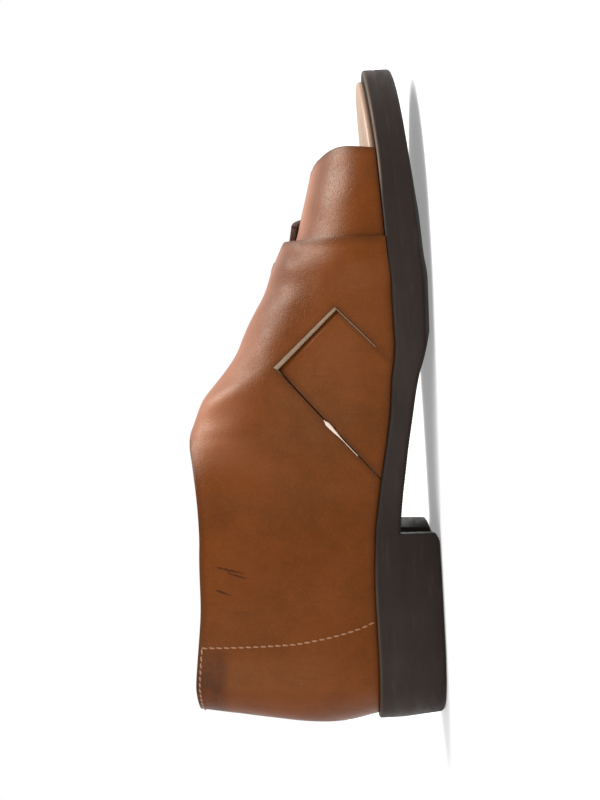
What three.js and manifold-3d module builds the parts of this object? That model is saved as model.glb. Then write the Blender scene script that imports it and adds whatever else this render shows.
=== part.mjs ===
// Criss cross sandal, right shoe: moulded sole with its heel, leather footbed and crossed leather upper.
// Millimetres, +X to the toe, +Y to the inner side of the foot, +Z up, standing on Z = 0.
import * as THREE from 'three'
import Module from 'manifold-3d'

const wasm = await Module()
wasm.setup()

// Driving dimensions
const SOLE_LENGTH = 264
const BALL_WIDTH = 95.5
const HEEL_WIDTH = 62.8
const HEEL_LENGTH = 77.6
const HEEL_LIFT = 16
const HEEL_TAPER = 1.6
const BREAST_HOLLOW = 7
const BREAST_FADE = 28
const BREAST_SLANT = 0.4
const HEEL_TIP_ROUND = 4.3
const SOLE_THICKNESS = 15.1
const TOE_SPRING = 6
const SOLE_EDGE_ROUND = 1.6
const TREAD_CAMBER = 2.6
const TREAD_CAMBER_WIDTH = 20
const TREAD_CAMBER_START = 97
const TREAD_CAMBER_RISE = 48
const LEDGE = 2.2
const FOOTBED_THICKNESS = 2.4
const FOOTBED_ROUND = 1.1
const LEATHER = 2
const INSTEP_HEIGHT = 77.1
const COLLAR_HEIGHT = 72.6
const COUNTER_SWELL = 3.6
const COUNTER_SWELL_HEIGHT = 24
const COLLAR_LEAN = 6
const WALL_CURVE = 1.5
const THROAT_AT = 118
const RIM_LIFT = 1.2
const RIM_WIDTH = 7
const RIM_FROM_GIRTH = 0.75
const SLIT_GAP = 0.7

// Clearance between pieces, and the width below which slivers are welded shut
const GAP = 0.3
const WELD = 0.01

// Length over which a layer settles from one level to the next, the same as a share of the girth,
// the share of the girth by which the quarters' tops stop short of each other at the throat,
// and the share of a layer's height at which its inner face stays
const FADE = 14
const THROAT_FADE = 0.22
const THROAT_NIP = 0.004
const SINK = 0.42

// Half width of the sole along its length, in shares of the two half widths, and its centre line
const OUTLINE = [
  { at: 0.000, heel: 0.000, ball: 0.000, lean: 0.000 },
  { at: 0.030, heel: 0.655, ball: 0.000, lean: 0.000 },
  { at: 0.075, heel: 0.910, ball: 0.000, lean: 0.000 },
  { at: 0.130, heel: 1.000, ball: 0.000, lean: 0.000 },
  { at: 0.200, heel: 0.995, ball: 0.000, lean: -0.001 },
  { at: 0.300, heel: 0.940, ball: 0.000, lean: -0.003 },
  { at: 0.400, heel: 0.660, ball: 0.215, lean: -0.006 },
  { at: 0.480, heel: 0.340, ball: 0.500, lean: -0.018 },
  { at: 0.560, heel: 0.120, ball: 0.770, lean: -0.028 },
  { at: 0.640, heel: 0.000, ball: 0.950, lean: -0.024 },
  { at: 0.710, heel: 0.000, ball: 1.000, lean: -0.012 },
  { at: 0.780, heel: 0.000, ball: 0.990, lean: 0.004 },
  { at: 0.850, heel: 0.000, ball: 0.900, lean: 0.026 },
  { at: 0.910, heel: 0.000, ball: 0.745, lean: 0.050 },
  { at: 0.955, heel: 0.000, ball: 0.545, lean: 0.068 },
  { at: 0.985, heel: 0.000, ball: 0.320, lean: 0.080 },
  { at: 1.000, heel: 0.000, ball: 0.000, lean: 0.086 },
]

// Side view of the sole: height of its underside, in shares of the heel lift and of the toe spring,
// and its thickness
const SIDE = [
  { at: 0.000, lift: 1.000, spring: 0.000, thick: 0.690 },
  { at: 0.115, lift: 1.020, spring: 0.000, thick: 0.650 },
  { at: 0.200, lift: 1.020, spring: 0.000, thick: 0.660 },
  { at: 0.290, lift: 0.955, spring: 0.000, thick: 0.655 },
  { at: 0.348, lift: 0.850, spring: 0.000, thick: 0.620 },
  { at: 0.405, lift: 0.690, spring: 0.000, thick: 0.610 },
  { at: 0.466, lift: 0.450, spring: 0.000, thick: 0.685 },
  { at: 0.523, lift: 0.220, spring: 0.000, thick: 0.845 },
  { at: 0.552, lift: 0.070, spring: 0.000, thick: 0.930 },
  { at: 0.576, lift: 0.000, spring: 0.000, thick: 0.975 },
  { at: 0.658, lift: 0.000, spring: 0.000, thick: 1.000 },
  { at: 0.700, lift: 0.000, spring: 0.160, thick: 1.000 },
  { at: 0.780, lift: 0.000, spring: 0.370, thick: 0.985 },
  { at: 0.865, lift: 0.000, spring: 0.600, thick: 0.950 },
  { at: 0.945, lift: 0.000, spring: 0.810, thick: 0.955 },
  { at: 1.000, lift: 0.000, spring: 1.000, thick: 0.930 },
]

// The last above the sole, by its reach: 0 at the back of the heel, 1 at the throat, 2 at the toe.
// Its columns are the height at which the two sides meet in a share of the instep height,
// how square each section is, how far its ridge leans to the inner side, and how much its wall swells
const LAST = [
  { reach: 0.000, ridge: 5.00, square: 2.70, lean: 0.000, swell: 1.00 },
  { reach: 0.268, ridge: 5.00, square: 2.70, lean: 0.000, swell: 0.70 },
  { reach: 0.508, ridge: 2.30, square: 2.70, lean: 0.000, swell: 0.50 },
  { reach: 0.678, ridge: 1.40, square: 2.70, lean: 0.000, swell: 0.45 },
  { reach: 0.763, ridge: 1.20, square: 2.68, lean: 0.004, swell: 0.42 },
  { reach: 0.848, ridge: 1.10, square: 2.65, lean: 0.008, swell: 0.40 },
  { reach: 0.933, ridge: 1.035, square: 2.60, lean: 0.012, swell: 0.40 },
  { reach: 1.000, ridge: 1.000, square: 2.55, lean: 0.018, swell: 0.40 },
  { reach: 1.074, ridge: 0.933, square: 2.50, lean: 0.028, swell: 0.40 },
  { reach: 1.156, ridge: 0.806, square: 2.45, lean: 0.040, swell: 0.40 },
  { reach: 1.291, ridge: 0.679, square: 2.40, lean: 0.050, swell: 0.40 },
  { reach: 1.445, ridge: 0.498, square: 2.32, lean: 0.050, swell: 0.35 },
  { reach: 1.530, ridge: 0.410, square: 2.26, lean: 0.046, swell: 0.30 },
  { reach: 1.606, ridge: 0.362, square: 2.20, lean: 0.044, swell: 0.25 },
  { reach: 1.740, ridge: 0.288, square: 2.15, lean: 0.044, swell: 0.15 },
  { reach: 1.873, ridge: 0.210, square: 2.10, lean: 0.055, swell: 0.05 },
  { reach: 2.000, ridge: 0.130, square: 2.00, lean: 0.086, swell: 0.00 },
]

// Height of the collar above the sole, in shares of the instep height and of the collar height,
// along the way from the heel to the throat
const COLLAR = [
  { way: 0.000, instep: 0.00, collar: 0.982 },
  { way: 0.135, instep: 0.00, collar: 0.990 },
  { way: 0.255, instep: 0.00, collar: 0.972 },
  { way: 0.475, instep: 0.00, collar: 0.934 },
  { way: 0.645, instep: 0.00, collar: 0.942 },
  { way: 0.765, instep: 0.30, collar: 0.652 },
  { way: 0.865, instep: 0.60, collar: 0.371 },
  { way: 0.932, instep: 0.98, collar: 0.000 },
  { way: 1.000, instep: 1.00, collar: 0.000 },
]

// Edges of the leather pieces. The girth runs from 0 at the outer side's sole, over the ridge at 1,
// to 2 at the inner side's sole, and each edge's place is a reach as in the last's table.
const TOE_BAND_FRONT = [
  { girth: 0.0, reach: 1.749 }, { girth: 0.3, reach: 1.765 }, { girth: 0.6, reach: 1.750 },
  { girth: 1.0, reach: 1.729 }, { girth: 1.4, reach: 1.740 }, { girth: 1.7, reach: 1.761 },
  { girth: 2.0, reach: 1.776 },
]
const TOE_BAND_BACK = [
  { girth: 0.0, reach: 1.458 }, { girth: 1.0, reach: 1.439 }, { girth: 2.0, reach: 1.530 },
]
const OUTER_PANEL_FRONT = [
  { girth: 0.00, reach: 1.506 }, { girth: 0.45, reach: 1.508 }, { girth: 0.78, reach: 1.506 },
  { girth: 0.92, reach: 1.483 }, { girth: 1.05, reach: 1.439 }, { girth: 1.30, reach: 1.367 },
  { girth: 1.73, reach: 1.277 }, { girth: 2.00, reach: 1.150 },
]
const INNER_PANEL_FRONT = [
  { girth: 0.00, reach: 1.170 }, { girth: 0.27, reach: 1.326 }, { girth: 0.55, reach: 1.430 },
  { girth: 0.80, reach: 1.506 }, { girth: 0.98, reach: 1.561 }, { girth: 1.15, reach: 1.582 },
  { girth: 1.50, reach: 1.604 }, { girth: 2.00, reach: 1.609 },
]
// Back edge of each crossing strap, from the sole on the far side up to the throat
const STRAP_BACK = [
  { girth: 0.00, reach: 0.837 }, { girth: 0.30, reach: 1.027 }, { girth: 0.56, reach: 1.174 },
  { girth: 0.80, reach: 1.096 }, { girth: 1.00, reach: 1.000 },
]
// Slit in the outer panel, where the inner panel's strap comes out, the girth from which the outer
// panel rises over it, and how far past the sole's edge its cut reaches
const SLIT_LOW_GIRTH = 0.27
const SLIT_HIGH_GIRTH = 0.56
const COVER_GIRTH = 0.367
const SLIT_REACH = 0.2
const SLIT_LAYERS = 3

// Number of facets, the shares of the sole's side where its facets break, and the two facets of a
// rounded edge, which meet at this share of its radius
const SOLE_STATIONS = 40
const QUARTER_STATIONS = 19
const GIRTH_ROWS = 11
const PANEL_COLUMNS = 9
const BAND_COLUMNS = 5
const GIRTH_STEPS = 60
const ACROSS = [0.25, 0.5, 0.75]
const SIDE_BREAKS = [0.32, 0.63]
const CUT = 1 - Math.SQRT1_2
const NEAR_BREAST = 0.3

// Smooth curve through the rows of a table that never overshoots them
function curve(rows, key, column, warp = (value) => value) {
  const xs = rows.map((row) => warp(row[key]))
  const ys = rows.map((row) => row[column])
  const rise = ys.slice(1).map((y, i) => (y - ys[i]) / (xs[i + 1] - xs[i]))
  const slope = ys.map((_, i) => {
    if (i === 0) return rise[0]
    if (i === ys.length - 1) return rise[i - 1]
    const product = rise[i - 1] * rise[i]
    return product <= 0 ? 0 : (2 * product) / (rise[i - 1] + rise[i])
  })
  return (value) => {
    const x = warp(value)
    let i = 0
    while (i < xs.length - 2 && x > xs[i + 1]) i += 1
    const width = xs[i + 1] - xs[i]
    const t = (x - xs[i]) / width
    const s = 1 - t
    return ys[i] * s * s * (1 + 2 * t) + ys[i + 1] * t * t * (1 + 2 * s)
      + width * t * s * (slope[i] * s - slope[i + 1] * t)
  }
}

const clamp = (value, low, high) => Math.min(high, Math.max(low, value))
const smooth = (value) => {
  const t = clamp(value, 0, 1)
  return t * t * (3 - 2 * t)
}
const mix = (a, b, share) => a + (b - a) * share

// The sole's outline seen from above. The turn runs from 0 at the back of the heel to PI at the toe,
// negative on the outer side, so that both ends come out round.
const turnAt = (at) => Math.acos(1 - 2 * clamp(at, 0, 1))
const heelHalf = curve(OUTLINE, 'at', 'heel', turnAt)
const ballHalf = curve(OUTLINE, 'at', 'ball', turnAt)
const outlineLean = curve(OUTLINE, 'at', 'lean')

function outline(turn) {
  const at = (1 - Math.cos(turn)) / 2
  const half = (heelHalf(at) * HEEL_WIDTH + ballHalf(at) * BALL_WIDTH) / 2
  return new THREE.Vector2(at * SOLE_LENGTH, outlineLean(at) * BALL_WIDTH + Math.sign(turn) * half)
}

// Direction into the sole, square to its outline
function inward(turn) {
  const step = 0.02
  const ahead = outline(turn + step)
  const behind = outline(turn - step)
  if (Math.abs(turn) < step) return new THREE.Vector2(1, 0)
  if (Math.PI - Math.abs(turn) < step) return new THREE.Vector2(-1, 0)
  const side = Math.sign(turn)
  return new THREE.Vector2(side * (ahead.y - behind.y), -side * (ahead.x - behind.x))
    .multiplyScalar(side).normalize()
}

function insetOutline(turn, inset) {
  return outline(turn).addScaledVector(inward(turn), inset)
}

// Heights of the sole
const heelLift = curve(SIDE, 'at', 'lift')
const toeLift = curve(SIDE, 'at', 'spring')
const thickness = curve(SIDE, 'at', 'thick')
const underside = (x) => {
  const at = clamp(x / SOLE_LENGTH, 0, 1)
  return heelLift(at) * HEEL_LIFT + toeLift(at) * TOE_SPRING
}
const soleTop = (x) => underside(x) + thickness(clamp(x / SOLE_LENGTH, 0, 1)) * SOLE_THICKNESS
const seat = (x) => soleTop(x) + GAP

// A closed mesh: equal points are joined and empty triangles dropped
function closedMesh(points, triangles) {
  const keys = new Map()
  const kept = []
  const index = points.map((point) => {
    const key = [point.x, point.y, point.z].map((value) => Math.round(value * 1e4)).join(' ')
    if (!keys.has(key)) {
      keys.set(key, kept.length)
      kept.push(point)
    }
    return keys.get(key)
  })
  let faces = triangles.map((face) => face.map((corner) => index[corner]))
  faces = faces.filter(([a, b, c]) => a !== b && b !== c && c !== a)
  const volume = faces.reduce((sum, [a, b, c]) => (
    sum + kept[a].dot(new THREE.Vector3().crossVectors(kept[b], kept[c]))), 0)
  if (volume < 0) faces = faces.map(([a, b, c]) => [a, c, b])
  return { points: kept, faces }
}

function toSolid({ points, faces }) {
  const vertProperties = new Float32Array(points.flatMap((point) => [point.x, point.y, point.z]))
  return new wasm.Manifold(new wasm.Mesh({
    numProp: 3, vertProperties, triVerts: new Uint32Array(faces.flat()),
  }))
}

function toGeometry(vertices, triangles) {
  const geometry = new THREE.BufferGeometry()
  geometry.setAttribute('position', new THREE.BufferAttribute(Float32Array.from(vertices), 3))
  geometry.setIndex(Array.from(triangles))
  geometry.computeVertexNormals()
  return geometry
}

// A solid skinned over a row of closed loops whose first and last loop fold flat
function loftLoops(loops) {
  const size = loops[0].length
  const triangles = []
  for (let i = 0; i < loops.length - 1; i += 1) {
    for (let j = 0; j < size; j += 1) {
      const a = i * size + j
      const b = i * size + ((j + 1) % size)
      triangles.push([a, b, a + size], [b, b + size, a + size])
    }
  }
  return closedMesh(loops.flat(), triangles)
}

// One cross section of a flat piece, from its levels (inset and height) at one turn.
// The hollow moves the middle of the lowest level back, as at the front face of the heel.
function plateLoop(turn, levels, hollow = 0) {
  const outer = levels.map(([inset, z]) => {
    const point = insetOutline(-turn, inset)
    return new THREE.Vector3(point.x, point.y, z)
  })
  const inner = levels.map(([inset, z]) => {
    const point = insetOutline(turn, inset)
    return new THREE.Vector3(point.x, point.y, z)
  })
  const across = (a, b, back) => ACROSS.map((share) => {
    const point = a.clone().lerp(b, share)
    point.x -= back * (1 - (2 * share - 1) ** 2)
    return point
  })
  const top = levels.length - 1
  return [
    outer[0], ...across(outer[0], inner[0], hollow), ...inner,
    ...across(inner[top], outer[top], 0), ...outer.slice(1).reverse(),
  ]
}

// How far the tread's edge lies above its middle
const camberAt = (x) => TREAD_CAMBER * smooth((x - TREAD_CAMBER_START) / TREAD_CAMBER_RISE)

// The sole and its heel, moulded in one
function buildOutsole() {
  const section = (turn, x, onHeel, hollow) => {
    const tip = clamp((x - (HEEL_LENGTH - HEEL_TIP_ROUND)) / HEEL_TIP_ROUND, 0, 1)
    const bottom = onHeel ? SOLE_EDGE_ROUND * tip * tip : underside(x)
    const top = soleTop(x)
    const taper = (z) => (onHeel ? HEEL_TAPER * clamp(1 - z / (top * SIDE_BREAKS[1]), 0, 1) : 0)
    const round = SOLE_EDGE_ROUND
    const camber = onHeel ? 0 : camberAt(x)
    const edge = bottom + camber
    const levels = [
      [TREAD_CAMBER_WIDTH, bottom], [round, edge], [round * CUT, edge + round * CUT], [0, edge + round],
      ...SIDE_BREAKS.map((share) => [0, mix(edge, top, share)]),
      [0, top - round * CUT], [round * CUT, top],
    ]
    return plateLoop(turn, levels.map(([inset, z]) => [inset + taper(z), z]), hollow)
  }
  const loops = []
  const breast = turnAt(HEEL_LENGTH / SOLE_LENGTH)
  const step = Math.PI / SOLE_STATIONS
  const turns = Array.from({ length: SOLE_STATIONS + 1 }, (_, i) => i * step)
  const hollowAt = (x) => BREAST_HOLLOW * clamp(1 - Math.abs(x - HEEL_LENGTH) / BREAST_FADE, 0, 1)
  const add = (turn, onHeel) => {
    const x = outline(turn).x
    loops.push(section(turn, x, onHeel, hollowAt(x)))
  }
  turns.filter((turn) => turn < breast - NEAR_BREAST * step).forEach((turn) => add(turn, true))
  add(breast, true)
  add(turnAt((HEEL_LENGTH + BREAST_SLANT) / SOLE_LENGTH), false)
  turns.filter((turn) => turn > breast + NEAR_BREAST * step).forEach((turn) => add(turn, false))
  const { points, faces } = loftLoops(loops)
  return toGeometry(points.flatMap((point) => [point.x, point.y, point.z]), faces.flat())
}

// The footbed lies on the sole, inside the upper
function buildFootbed() {
  const inset = LEDGE + LEATHER + GAP
  const loops = []
  for (let i = 0; i <= SOLE_STATIONS; i += 1) {
    const turn = (Math.PI * i) / SOLE_STATIONS
    const x = clamp(insetOutline(turn, inset).x, inset, SOLE_LENGTH - inset)
    const base = seat(x)
    const top = base + FOOTBED_THICKNESS
    loops.push(plateLoop(turn, [
      [inset, base], [inset, top - FOOTBED_ROUND], [inset + FOOTBED_ROUND * CUT, top - FOOTBED_ROUND * CUT],
      [inset + FOOTBED_ROUND, top],
    ]))
  }
  const { points, faces } = loftLoops(loops)
  return toGeometry(points.flatMap((point) => [point.x, point.y, point.z]), faces.flat())
}

// Place along the sole from a reach, and the reach from a place
const atReach = (reach) => (reach <= 1
  ? reach * THROAT_AT
  : mix(THROAT_AT, SOLE_LENGTH, reach - 1))
const reachAt = (x) => (x <= THROAT_AT
  ? clamp(x / THROAT_AT, 0, 1)
  : 1 + clamp((x - THROAT_AT) / (SOLE_LENGTH - THROAT_AT), 0, 1))

// The last that the upper is shaped on
const ridgeHeight = curve(LAST, 'reach', 'ridge')
const squareness = curve(LAST, 'reach', 'square')
const ridgeLean = curve(LAST, 'reach', 'lean')
const wallSwell = curve(LAST, 'reach', 'swell')
const collarInstep = curve(COLLAR, 'way', 'instep')
const collarBack = curve(COLLAR, 'way', 'collar')

// Height of the upper's top edge above the sole: the collar behind the throat, and the ridge before it
function topHeight(x) {
  if (x >= THROAT_AT) return ridgeHeight(reachAt(x)) * INSTEP_HEIGHT
  const way = clamp(x / THROAT_AT, 0, 1)
  return collarInstep(way) * INSTEP_HEIGHT + collarBack(way) * COLLAR_HEIGHT
}

// Point of one section of the last at a height above the sole, on the side of the turn's sign
function wallPoint(turn, height) {
  const foot = insetOutline(turn, LEDGE + LEATHER)
  const x = clamp(outline(turn).x, 0, SOLE_LENGTH)
  const at = reachAt(x)
  const side = turn < 0 ? -1 : 1
  const ridge = ridgeHeight(at) * INSTEP_HEIGHT
  const square = squareness(at)
  const closing = Math.max(0, 1 - clamp(height / ridge, 0, 1) ** square) ** (1 / square)
  const rise = height / COUNTER_SWELL_HEIGHT
  const swell = wallSwell(at) * (COUNTER_SWELL * (rise * Math.exp(1 - rise)) ** WALL_CURVE
    - COLLAR_LEAN * (height / COLLAR_HEIGHT) ** WALL_CURVE)
  // Round the heel the wall leans square to the outline, further forward it leans straight across
  const turned = 1 - smooth((x - HEEL_WIDTH / 2) / (HEEL_WIDTH / 2))
  const across = new THREE.Vector2(0, -side)
  const into = across.lerp(inward(turn), turned).normalize()
  const ridgeY = ridgeLean(at) * BALL_WIDTH
  const reach = Math.abs(foot.y - ridgeY)
  const inset = (1 - turned) * reach * (1 - closing) - swell * closing
  return new THREE.Vector3(foot.x + into.x * inset, foot.y + into.y * inset, seat(foot.x) + height)
}

// Points of one section at equal steps of girth, from the sole up to the top edge
const sections = new Map()
function section(turn) {
  if (sections.has(turn)) return sections.get(turn)
  const x = outline(turn).x
  const top = topHeight(x)
  const ridge = ridgeHeight(reachAt(x)) * INSTEP_HEIGHT
  const square = squareness(reachAt(x))
  const last = Math.asin(clamp(top / ridge, 0, 1) ** (square / 2))
  const points = Array.from({ length: GIRTH_STEPS + 1 }, (_, i) => (
    wallPoint(turn, ridge * Math.sin((last * i) / GIRTH_STEPS) ** (2 / square))))
  const lengths = [0]
  points.slice(1).forEach((point, i) => lengths.push(lengths[i] + point.distanceTo(points[i])))
  sections.set(turn, { points, lengths })
  return sections.get(turn)
}

function girthPoint(turn, share) {
  const { points, lengths } = section(turn)
  const total = lengths[lengths.length - 1]
  const want = share * total
  if (want < 0) return points[0].clone().add(new THREE.Vector3(0, 0, want))
  let i = 0
  while (i < lengths.length - 2 && want > lengths[i + 1]) i += 1
  return points[i].clone().lerp(points[i + 1], (want - lengths[i]) / (lengths[i + 1] - lengths[i]))
}

// Last point from the sole's length and the girth from 0 to 2
function lastPoint(x, girth) {
  const turn = turnAt(x / SOLE_LENGTH)
  return girth <= 1 ? girthPoint(-turn, girth) : girthPoint(turn, 2 - girth)
}

// The same point raised square to the last
function raised(place, u, v, height) {
  const step = 0.01
  const du = place(u + step, v).sub(place(u - step, v))
  const dv = place(u, v + step).sub(place(u, v - step))
  const normal = du.cross(dv).normalize()
  return place(u, v).addScaledVector(normal, height)
}

// A sheet of leather: a grid with an inner and an outer face and four edges
function sheet(columns, rows, face) {
  const points = []
  const triangles = []
  const count = (columns + 1) * (rows + 1)
  for (const side of [0, 1]) {
    for (let i = 0; i <= columns; i += 1) {
      for (let j = 0; j <= rows; j += 1) points.push(face(i / columns, j / rows, side))
    }
  }
  const at = (i, j, side) => side * count + i * (rows + 1) + j
  const quad = (a, b, c, d) => triangles.push([a, b, c], [a, c, d])
  for (let i = 0; i < columns; i += 1) {
    for (let j = 0; j < rows; j += 1) {
      quad(at(i, j, 0), at(i, j + 1, 0), at(i + 1, j + 1, 0), at(i + 1, j, 0))
      quad(at(i, j, 1), at(i + 1, j, 1), at(i + 1, j + 1, 1), at(i, j + 1, 1))
    }
  }
  for (let i = 0; i < columns; i += 1) {
    quad(at(i, 0, 0), at(i + 1, 0, 0), at(i + 1, 0, 1), at(i, 0, 1))
    quad(at(i, rows, 0), at(i, rows, 1), at(i + 1, rows, 1), at(i + 1, rows, 0))
  }
  for (let j = 0; j < rows; j += 1) {
    quad(at(0, j, 0), at(0, j, 1), at(0, j + 1, 1), at(0, j + 1, 0))
    quad(at(columns, j, 0), at(columns, j + 1, 0), at(columns, j + 1, 1), at(columns, j, 1))
  }
  return toSolid(closedMesh(points, triangles))
}

const edge = (rows) => {
  const reach = curve(rows, 'girth', 'reach')
  return (girth) => atReach(reach(girth))
}
const toeBandFront = edge(TOE_BAND_FRONT)
const toeBandBack = edge(TOE_BAND_BACK)
const outerPanelFront = edge(OUTER_PANEL_FRONT)
const innerPanelFront = edge(INNER_PANEL_FRONT)
const strapBack = edge(STRAP_BACK)
const outerPanelBack = (girth) => (girth <= 1 ? THROAT_AT : strapBack(2 - girth))
const innerPanelBack = (girth) => (girth <= 1 ? strapBack(girth) : THROAT_AT)

// How many layers lie below each piece: the toe band below both panels, and the inner below the outer
const onToeBand = (x, girth) => smooth(1 + (x - toeBandBack(girth)) / FADE)
const innerLayers = onToeBand
function outerLayers(x, girth) {
  const pastThroat = smooth((x - THROAT_AT) / FADE)
  if (girth >= 1) return onToeBand(x, girth) + Math.max(pastThroat, smooth((girth - 1) / THROAT_FADE))
  const aboveSlit = smooth((girth - COVER_GIRTH) / THROAT_FADE)
  const overStrap = smooth(1 + (x - innerPanelBack(girth)) / FADE)
    * smooth(1 + (innerPanelFront(girth) - x) / FADE)
  return onToeBand(x, girth) + pastThroat * aboveSlit * overStrap
}

// The inner panel's front rim stands off the toe band over the ridge and on the inner side
const rimLift = (x, girth) => {
  const over = smooth((girth - RIM_FROM_GIRTH) / THROAT_FADE)
  return RIM_LIFT * over * smooth(1 - (innerPanelFront(girth) - x) / RIM_WIDTH)
}
const noLift = () => 0

// A panel between a back edge and a front edge over a stretch of girth. Where it lies on other layers
// its inner face is sunk into them, so that they join without gaps.
function panel({ from, to, back, front, layers, lift = noLift, rows, columns = PANEL_COLUMNS }) {
  return sheet(columns, rows, (u, v, side) => {
    const girth = mix(from, to, v)
    const x = mix(back(girth), front(girth), u)
    const level = layers(x, girth) * LEATHER
    const height = lift(x, girth) + (side ? level + LEATHER : level * SINK)
    const point = raised(lastPoint, x, girth, height)
    if (girth <= 0 || girth >= 2) point.z = seat(x)
    return point
  })
}

// The opening of the slit and the bed of the strap that comes out of it, down to the sole
function buildSlit() {
  const front = (girth) => {
    const share = (girth - SLIT_LOW_GIRTH) / (SLIT_HIGH_GIRTH - SLIT_LOW_GIRTH)
    const low = innerPanelFront(SLIT_LOW_GIRTH)
    if (share <= 0) return innerPanelFront(girth) + SLIT_GAP
    return mix(low, strapBack(SLIT_HIGH_GIRTH), share) + SLIT_GAP
  }
  return sheet(PANEL_COLUMNS, GIRTH_ROWS, (u, v, side) => {
    const girth = mix(-SLIT_REACH, SLIT_HIGH_GIRTH, v)
    const x = mix(strapBack(Math.max(girth, 0)) - SLIT_GAP, front(Math.max(girth, 0)), u)
    return raised(lastPoint, x, girth, mix(-LEATHER, SLIT_LAYERS * LEATHER, side))
  })
}

// The back of the upper, round the heel from the throat on one side to the throat on the other
function buildQuarters() {
  const start = turnAt(THROAT_AT / SOLE_LENGTH)
  return sheet(2 * QUARTER_STATIONS, GIRTH_ROWS, (u, v, side) => {
    const turn = mix(-start, start, u)
    let point = raised(girthPoint, turn, v, -side * LEATHER)
    const girth = Math.min(v, 1 - THROAT_NIP)
    if (u === 0) point = raised(lastPoint, THROAT_AT, girth, side * LEATHER)
    if (u === 1) point = raised(lastPoint, THROAT_AT, 2 - girth, side * LEATHER)
    if (v === 0) point.z = seat(outline(turn).x)
    return point
  })
}

function buildUpper() {
  const rows = 2 * GIRTH_ROWS
  const toeBand = panel({
    from: 0, to: 2, back: toeBandBack, front: toeBandFront, layers: () => 0, rows, columns: BAND_COLUMNS,
  })
  const innerPanel = panel({
    from: 2, to: 0, back: innerPanelBack, front: innerPanelFront, layers: innerLayers, lift: rimLift, rows,
  })
  const outerPanel = panel({
    from: 0, to: 2, back: outerPanelBack, front: outerPanelFront, layers: outerLayers, rows,
  })
  const joined = buildQuarters().add(outerPanel).subtract(buildSlit()).add(innerPanel).add(toeBand)
  // Layers that only touch can leave a flat sliver between them: it is welded away
  const [upper] = joined.simplify(WELD).decompose().sort((a, b) => b.volume() - a.volume())
  const { vertProperties, triVerts } = upper.getMesh()
  return toGeometry(vertProperties, triVerts)
}

const rubber = new THREE.MeshStandardMaterial({ color: 0x3b302b, roughness: 0.75, metalness: 0 })
const lining = new THREE.MeshStandardMaterial({ color: 0xc99f80, roughness: 0.6, metalness: 0 })
const leather = new THREE.MeshStandardMaterial({ color: 0x8f5c3c, roughness: 0.55, metalness: 0 })

function piece(name, geometry, material) {
  const mesh = new THREE.Mesh(geometry, material)
  mesh.name = name
  return mesh
}

const group = new THREE.Group()
group.add(piece('outsole', buildOutsole(), rubber))
group.add(piece('footbed', buildFootbed(), lining))
group.add(piece('upper', buildUpper(), leather))

// The origin is under the middle of the shoe, on the floor
const box = new THREE.Box3().setFromObject(group)
const centre = box.getCenter(new THREE.Vector3())
group.position.set(-centre.x, -centre.y, -box.min.z)

export default group
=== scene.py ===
"""Criss cross sandal, right shoe: leather upper, footbed, moulded sole, stitches and a plain stage."""

import math
from bisect import bisect_right

import bmesh
import bpy
from mathutils import Matrix, Vector, noise


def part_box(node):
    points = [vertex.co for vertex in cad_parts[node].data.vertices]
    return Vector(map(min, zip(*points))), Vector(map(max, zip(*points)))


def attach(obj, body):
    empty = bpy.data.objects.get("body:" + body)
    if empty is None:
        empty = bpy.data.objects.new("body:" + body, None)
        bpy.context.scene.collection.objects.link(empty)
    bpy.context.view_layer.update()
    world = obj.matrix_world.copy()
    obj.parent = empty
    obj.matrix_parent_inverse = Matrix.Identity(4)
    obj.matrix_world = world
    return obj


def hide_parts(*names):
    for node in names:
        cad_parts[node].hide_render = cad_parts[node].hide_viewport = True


bl_info = {
    "name": "Criss Cross Sandal",
    "version": (1, 0, 0),
    "blender": (4, 5, 0),
    "location": "View3D > Sidebar > Sandal",
    "description": "Builds the leather, footbed, sole and stitches of a criss cross sandal on its frame",
    "category": "Object",
}

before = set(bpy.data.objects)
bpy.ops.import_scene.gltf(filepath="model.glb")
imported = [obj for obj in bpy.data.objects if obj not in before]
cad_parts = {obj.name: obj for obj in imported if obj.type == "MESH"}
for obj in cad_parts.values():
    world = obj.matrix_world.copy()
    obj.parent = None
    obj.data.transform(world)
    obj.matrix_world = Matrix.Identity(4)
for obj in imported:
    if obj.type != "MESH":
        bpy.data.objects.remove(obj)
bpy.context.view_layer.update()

# The last and the sole are worked out in millimetres of the shoe, +X to the toe from the back of the
# heel, +Y to the inner side, +Z up, and every mesh is brought into the frame's metres at its end.
MM = 0.001
SOLE_LENGTH = 264
BALL_WIDTH = 95.5
HEEL_WIDTH = 62.8
HEEL_LENGTH = 77.6
HEEL_LIFT = 16
HEEL_TAPER = 1.6
BREAST_HOLLOW = 7
BREAST_FADE = 28
BREAST_SLANT = 0.4
HEEL_TIP_ROUND = 4.3
SOLE_THICKNESS = 15.1
TOE_SPRING = 6
SOLE_EDGE_ROUND = 1.6
TREAD_CAMBER = 2.6
TREAD_CAMBER_WIDTH = 20
TREAD_CAMBER_START = 97
TREAD_CAMBER_RISE = 48
LEDGE = 2.2
FOOTBED_THICKNESS = 2.4
LEATHER = 2
INSTEP_HEIGHT = 77.1
COLLAR_HEIGHT = 72.6
COUNTER_SWELL = 3.6
COUNTER_SWELL_HEIGHT = 24
COLLAR_LEAN = 6
WALL_CURVE = 1.5
THROAT_AT = 118
RIM_LIFT = 1.2
RIM_WIDTH = 7
RIM_FROM_GIRTH = 0.75
GAP = 0.3
FADE = 14
THROAT_FADE = 0.22
SLIT_LOW_GIRTH = 0.27
SLIT_HIGH_GIRTH = 0.56
COVER_GIRTH = 0.367

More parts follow.
